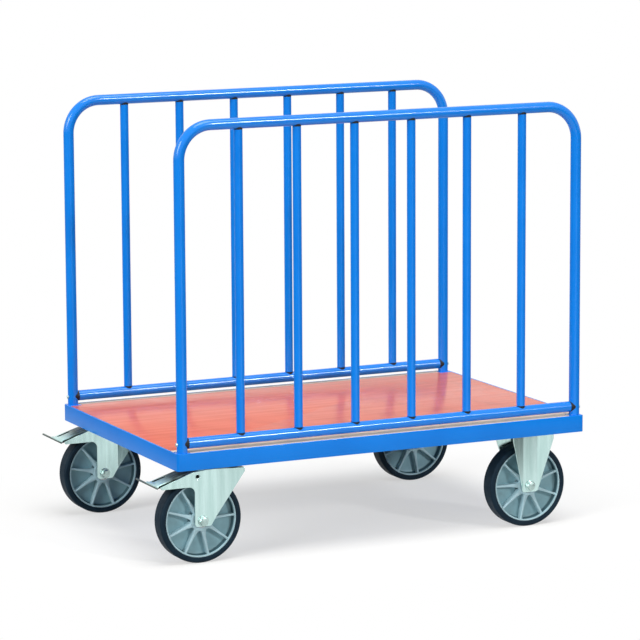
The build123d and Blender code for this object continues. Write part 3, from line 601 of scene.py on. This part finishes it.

# Wheel cores
# Moulded in grey-green plastic: a ring for the tyre, a thin web and a hub for two bearings.
# Nine tapered ribs on each side widen in a curve at the hub, with painted shade on their flanks and a painted
# highlight on their tops.
core_plastic, tree, shader, place = new_finish("grey_core_plastic", Specular_IOR_Level=0.45)
cloudy = blotched(tree, shader, place, 40.0, colour(238, 238, 238), colour(255, 255, 255))
# Depth from the wheel's middle picks the tone: the web's own colour, painted shade on rib flanks, a painted
# highlight on rib tops.
relief = add(tree, "ShaderNodeAttribute", attribute_name="relief")
shade = add(tree, "ShaderNodeValToRGB", {"Fac": relief.outputs["Fac"]})
shade.color_ramp.elements.new(0.68)
shade.color_ramp.elements.new(0.82)
web_tone, painted_shade_tone, painted_highlight_tone = colour(138, 178, 188), colour(64, 95, 104), colour(170, 202, 211)
for element, position, tone in zip(
        shade.color_ramp.elements, (0.16, 0.24, 0.68, 0.82), (web_tone, painted_shade_tone, painted_shade_tone, painted_highlight_tone)):
    element.position = position
    element.color = tone
tinted = add(tree, "ShaderNodeMix", {0: 1.0, 6: shade.outputs["Color"], 7: cloudy},
             data_type="RGBA", blend_type="MULTIPLY")
tree.links.new(tinted.outputs[2], shader.inputs["Base Color"])
uneven(tree, shader, place, 110.0, 0.4, 0.54)
textured(tree, shader, place, 800.0, 0.0003, 0.4)

rib_ring, given, result = new_rule("ring_of_ribs", {"Count": "Int", "First angle": "Float"})
ribs = add(rib_ring, "GeometryNodePoints", {"Count": given["Count"]})
pitch = maths(rib_ring, "DIVIDE", 2 * math.pi, given["Count"])
number = add(rib_ring, "GeometryNodeInputIndex").outputs[0]
angle = maths(rib_ring, "MULTIPLY_ADD", number, pitch, given["First angle"])
turn = add(rib_ring, "ShaderNodeCombineXYZ", {"Y": angle})
ring = add(rib_ring, "GeometryNodeInstanceOnPoints", {
    "Points": ribs.outputs[0], "Instance": given["Geometry"], "Rotation": turn.outputs[0]})
end_rule(rib_ring, ring.outputs[0], given, result)

rib_count = 9
rib_reach = (0.0225, 0.0240, 0.0260, 0.0285, 0.0320, 0.0365, 0.0430, 0.0520, 0.0640, 0.0740, 0.0795,
             0.0820, 0.0842)
rib_half_width, rib_taper, taper_end, taper_length = 0.0020, 0.0012, 0.084, 0.06
hub_fillet, hub_fillet_fade = 0.0042, 0.0085
ring_fillet, ring_fillet_fade = 0.0014, 0.003
rib_half_height, hub_rise, hub_rise_start, hub_rise_fade = 0.0172, 0.0030, 0.027, 0.010
rib_crown = ((1.0, 0.0009), (0.75, 0.0003), (0.35, 0.0), (-0.35, 0.0), (-0.75, 0.0003), (-1.0, 0.0009))


def rib_section(r):
    """Half a rib's width and half its height, at a distance from the axle."""
    tapered = rib_half_width + rib_taper * (taper_end - r) / taper_length
    at_hub = hub_fillet * math.exp(-(r - rib_reach[0]) / hub_fillet_fade)
    at_ring = ring_fillet * math.exp(-(rib_reach[-1] - r) / ring_fillet_fade)
    crest = rib_half_height + hub_rise * math.exp(-max(r - hub_rise_start, 0) / hub_rise_fade)
    return tapered + at_hub + at_ring, crest


def rib():
    """One rib through the web: sections along its reach, with a crowned top on each side."""
    shape = bmesh.new()
    loops = []
    for r in rib_reach:
        width, crest = rib_section(r)
        half_loop = [(share * width, crest - drop) for share, drop in rib_crown]
        loop = half_loop + [(-x, -y) for x, y in half_loop]
        loops.append([shape.verts.new((r, y, x)) for x, y in loop])
    for loop, following in zip(loops, loops[1:]):
        for i in range(len(loop)):
            j = (i + 1) % len(loop)
            shape.faces.new((loop[i], loop[j], following[j], following[i]))
    shape.faces.new(loops[0])
    shape.faces.new(loops[-1])
    bmesh.ops.recalc_face_normals(shape, faces=shape.faces)
    mesh = bpy.data.meshes.new("wheel_rib")
    shape.to_mesh(mesh)
    shape.free()
    return mesh


def both_sides(side):
    """A closed outline from the half of it on one side of the wheel's middle."""
    return side + [(r, -a) for r, a in reversed(side)]


core_side = [(0.0120, 0.0120), (0.01755, 0.0120), (0.01755, 0.0222), (0.0183, 0.0230), (0.0238, 0.0230),
             (0.0247, 0.0226), (0.0250, 0.0217), (0.0254, 0.0080), (0.0263, 0.0052), (0.0284, 0.0036),
             (0.0320, 0.0030), (0.0760, 0.0030), (0.0800, 0.0035), (0.0820, 0.0052), (0.0828, 0.0080),
             (0.0831, 0.0176), (0.0834, 0.0186), (0.0843, 0.0190), (0.0860, 0.0190), (0.0867, 0.0187),
             (0.0870, 0.0180)]
full_relief = 0.02
rib_angles = {"front_swivel": 3.0, "rear_swivel": 9.5, "front_fixed": 18.5, "rear_fixed": 0.0}
for wheel, rib_angle in rib_angles.items():
    low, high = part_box(f"{wheel}_rim")
    ribs = grown("wheel_ribs", rib(), rib_ring,
                 Count=rib_count, First_angle=-math.radians(rib_angle), Finish=core_plastic)
    body = turned("wheel_core_body", both_sides(core_side), "Y", 120)
    body.shade_smooth()
    core = joined(f"{wheel}_ribbed_core", core_plastic, ribs, new_piece("wheel_core_body", body))
    raised = [abs(v.co.y) / full_relief for v in core.data.vertices]
    core.data.attributes.new("relief", "FLOAT", "POINT").data.foreach_set("value", raised)
    core.data.transform(Matrix.Translation((low + high) / 2))
    settle(core, f"{wheel}_rim")

# Bearings
# Two ball bearings of ground steel, pressed into the ends of each hub.
# They turn with the wheel on the axle's sleeve.
for wheel in rib_angles:
    dressed(f"{wheel}_bearings", ground_steel, 0.0003)

# Tyres
# Solid rings of black rubber, moulded onto the cores, with a smooth crowned tread.
# A raised line runs round each side wall.
tyre_rubber, tree, shader, place = new_finish("black_tyre_rubber", Specular_IOR_Level=0.12)
blotched(tree, shader, place, 30.0, colour(14, 33, 46), colour(22, 42, 55))
uneven(tree, shader, place, 90.0, 0.5, 0.62)
textured(tree, shader, place, 1500.0, 0.0002, 0.2)
shoulder_out, shoulder_along, shoulder_radius = 0.094, 0.0148, 0.006
shoulder = []
for degrees in range(0, 91, 10):
    angle = math.radians(degrees)
    shoulder.append((shoulder_out + shoulder_radius * math.sin(angle),
                     shoulder_along + shoulder_radius * math.cos(angle)))
tyre_side = [(0.0871, 0.0192), (0.0880, 0.0203), (0.0890, 0.0206), (0.0908, 0.0206), (0.0911, 0.0210),
             (0.0917, 0.0210), (0.0920, 0.0206), *shoulder, (0.09995, 0.0100), (0.1000, 0.0050)]
for wheel in rib_angles:
    low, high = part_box(f"{wheel}_tyre")
    mesh = turned(f"{wheel}_rubber_tyre", both_sides(tyre_side), "Y", 128, (low + high) / 2)
    mesh.materials.append(tyre_rubber)
    mesh.shade_smooth()
    mesh.set_sharp_from_angle(angle=math.radians(40))
    settle(new_piece(f"{wheel}_rubber_tyre", mesh), f"{wheel}_tyre")

# Brakes
# A pedal of zinc-plated sheet, with patchy painted shade towards its pivot, turns on two hollow pins in the
# fork's arms. Under it are a block of black rubber that fills its slot and presses on the tyre, and a thin
# bar, painted dark for shade, that lifts it.
brake_rubber, tree, shader, place = new_finish("brake_rubber", Specular_IOR_Level=0.06)
blotched(tree, shader, place, 60.0, colour(7, 8, 9), colour(13, 14, 16))
uneven(tree, shader, place, 150.0, 0.65, 0.85)
textured(tree, shader, place, 1200.0, 0.0003, 0.3)
greased_zinc, tree, shader, place = new_finish("greased_zinc", Specular_IOR_Level=0.12)
unshaded_zinc_tone = blotched(tree, shader, place, 26.0, colour(191, 222, 218), colour(205, 234, 231))
# Painted shade: past a short bright stretch at its low end the pedal turns dark in patchy streaks and loses
# its metal look.
low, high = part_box("front_brake_pedal")
shade_start, shade_full = low.x + 0.012, low.x + 0.044
along = add(tree, "ShaderNodeSeparateXYZ", {0: place})
shade_rise = add(tree, "ShaderNodeMapRange", {
    "Value": along.outputs["X"], "From Min": shade_start, "From Max": shade_full})
streaked = add(tree, "ShaderNodeMapping", {"Vector": place, "Scale": (30.0, 420.0, 30.0)})
streaks = add(tree, "ShaderNodeTexNoise", {
    "Vector": streaked.outputs["Vector"], "Scale": 1.0, "Detail": 1.0})
patchy = add(tree, "ShaderNodeMapRange", {
    "Value": streaks.outputs["Fac"], "From Min": 0.38, "From Max": 0.62, "To Min": 0.55})
painted_shade = maths(tree, "MULTIPLY", shade_rise.outputs["Result"], patchy.outputs["Result"])
tree.links.new(mixed(tree, painted_shade, unshaded_zinc_tone, colour(30, 34, 30)), shader.inputs["Base Color"])
tree.links.new(maths(tree, "SUBTRACT", 1.0, painted_shade), shader.inputs["Metallic"])
uneven(tree, shader, place, 45.0, 0.34, 0.46)
textured(tree, shader, place, 1400.0, 0.0001, 0.06)
for side in ("front", "rear"):
    dressed(f"{side}_pedal_pins", bright_zinc, 0.0003)
    dressed(f"{side}_brake_pedal", greased_zinc, 0.0005)
    # The release bar has the zinc that is painted dark for shade.
    dressed(f"{side}_release_bar", dull_zinc, 0.0004)
    dressed(f"{side}_brake_shoe", brake_rubber, 0.0006)

# Stage
# A large pale floor, white away from the trolley's shadow, and dimmer to both sides in its reflections.
# Light comes from above, the left and the front right. The camera stands where the photograph was taken from.


def seen(tree):
    """The kinds of ray, and a value of 1 where the eye, a reflection or glass shows the surface."""
    ray = add(tree, "ShaderNodeLightPath").outputs
    shown = maths(tree, "MAXIMUM", ray["Is Camera Ray"], ray["Is Glossy Ray"])
    return ray, maths(tree, "MAXIMUM", shown, ray["Is Transmission Ray"])


def fade(tree, value, start, end, first, last):
    """A smooth change from one amount to another between two places."""
    return add(tree, "ShaderNodeMapRange", {
        "Value": value, "From Min": start, "From Max": end, "To Min": first, "To Max": last},
        interpolation_type="SMOOTHSTEP").outputs["Result"]


floor_reach = 60
footprint = (0.45, 0.30, 0.0)
floor_corners = [(-floor_reach, -floor_reach, 0), (floor_reach, -floor_reach, 0),
                 (floor_reach, floor_reach, 0), (-floor_reach, floor_reach, 0)]
floor_mesh = bpy.data.meshes.new("floor")
floor_mesh.from_pydata(floor_corners, [], [(0, 1, 2, 3)])
white_floor = bpy.data.materials.new("white_floor")
white_floor.use_nodes = True
tree = white_floor.node_tree
tree.nodes.clear()
ray, shown = seen(tree)
on_floor = add(tree, "ShaderNodeTexCoord").outputs["Object"]
spot = add(tree, "ShaderNodeSeparateXYZ", {0: on_floor})
spread = add(tree, "ShaderNodeVectorMath", {0: on_floor}, operation="ABSOLUTE")
beyond = add(tree, "ShaderNodeVectorMath", {0: spread.outputs["Vector"], 1: footprint}, operation="SUBTRACT")
beside = add(tree, "ShaderNodeVectorMath", {0: beyond.outputs["Vector"], 1: (0, 0, 0)}, operation="MAXIMUM")
away = add(tree, "ShaderNodeVectorMath", {0: beside.outputs["Vector"]}, operation="LENGTH")
glow = maths(tree, "MULTIPLY", shown, fade(tree, away.outputs["Value"], 0.05, 0.45, 0.54, 1.0))
to_right = fade(tree, spot.outputs["X"], 0.55, 1.55, 1.0, 0.15)
to_left = fade(tree, spot.outputs["X"], -0.2, -1.2, 1.0, 0.2)
mirrored = maths(tree, "MULTIPLY", to_right, to_left)
fill = add(tree, "ShaderNodeMix", {0: ray["Is Diffuse Ray"], 2: 1.0, 3: 0.55})
pale = add(tree, "ShaderNodeMix", {0: ray["Is Glossy Ray"], 2: fill.outputs[0], 3: mirrored}).outputs[0]
shades = mixed(tree, pale, (0.05, 0.05, 0.05, 1.0), (0.98, 0.968, 0.940, 1.0))
matt = add(tree, "ShaderNodeBsdfDiffuse", {"Color": shades})
white = add(tree, "ShaderNodeEmission", {"Color": pale, "Strength": 1.0})
both = add(tree, "ShaderNodeMixShader", {0: glow, 1: matt.outputs[0], 2: white.outputs[0]})
add(tree, "ShaderNodeOutputMaterial", {"Surface": both.outputs[0]})
floor_mesh.materials.append(white_floor)
new_piece("floor", floor_mesh)

world = bpy.data.worlds.new("white_surround")
bpy.context.scene.world = world
world.use_nodes = True
tree = world.node_tree
tree.nodes.clear()
ray, shown = seen(tree)
soft = add(tree, "ShaderNodeBackground", {"Color": (1.0, 1.0, 1.0, 1.0), "Strength": 0.16})
white = add(tree, "ShaderNodeBackground", {"Color": (1.0, 1.0, 1.0, 1.0), "Strength": 1.0})
both = add(tree, "ShaderNodeMixShader", {0: shown, 1: soft.outputs[0], 2: white.outputs[0]})
add(tree, "ShaderNodeOutputWorld", {"Surface": both.outputs[0]})

for name, energy, softness, towards in (
    ("ceiling_light", 2.0, 40, (-0.08, 0.20, -1.0)),
    ("front_light", 1.0, 6, (-0.40, 0.82, -0.38)),
    ("left_light", 1.9, 30, (0.88, 0.33, -0.40)),
):
    lamp = bpy.data.lights.new(name, "SUN")
    lamp.energy = energy
    lamp.angle = math.radians(softness)
    light = bpy.data.objects.new(name, lamp)
    bpy.context.scene.collection.objects.link(light)
    light.rotation_euler = Vector(towards).to_track_quat("-Z", "Y").to_euler()

lens = bpy.data.cameras.new("photo_camera")
lens.lens = 186.73
lens.sensor_width = 36
lens.sensor_fit = "HORIZONTAL"
lens.clip_end = 200
camera = bpy.data.objects.new("photo_camera", lens)
bpy.context.scene.collection.objects.link(camera)
yaw, pitch, roll = math.radians(25.570), math.radians(9.1186), math.radians(-0.2918)
forward = Vector((math.sin(yaw) * math.cos(pitch), math.cos(yaw) * math.cos(pitch), -math.sin(pitch)))
across = Vector((math.cos(yaw), -math.sin(yaw), 0))
above = across.cross(forward)
right_hand = math.cos(roll) * across + math.sin(roll) * above
upwards = -math.sin(roll) * across + math.cos(roll) * above
turn = Matrix((right_hand, upwards, -forward)).transposed().to_4x4()
stand = Vector((middle.x - 3.38816, middle.y - 7.07852, 1.74058))
camera.matrix_world = Matrix.Translation(stand) @ turn
bpy.context.scene.camera = camera
bpy.context.scene.view_settings.view_transform = "Standard"
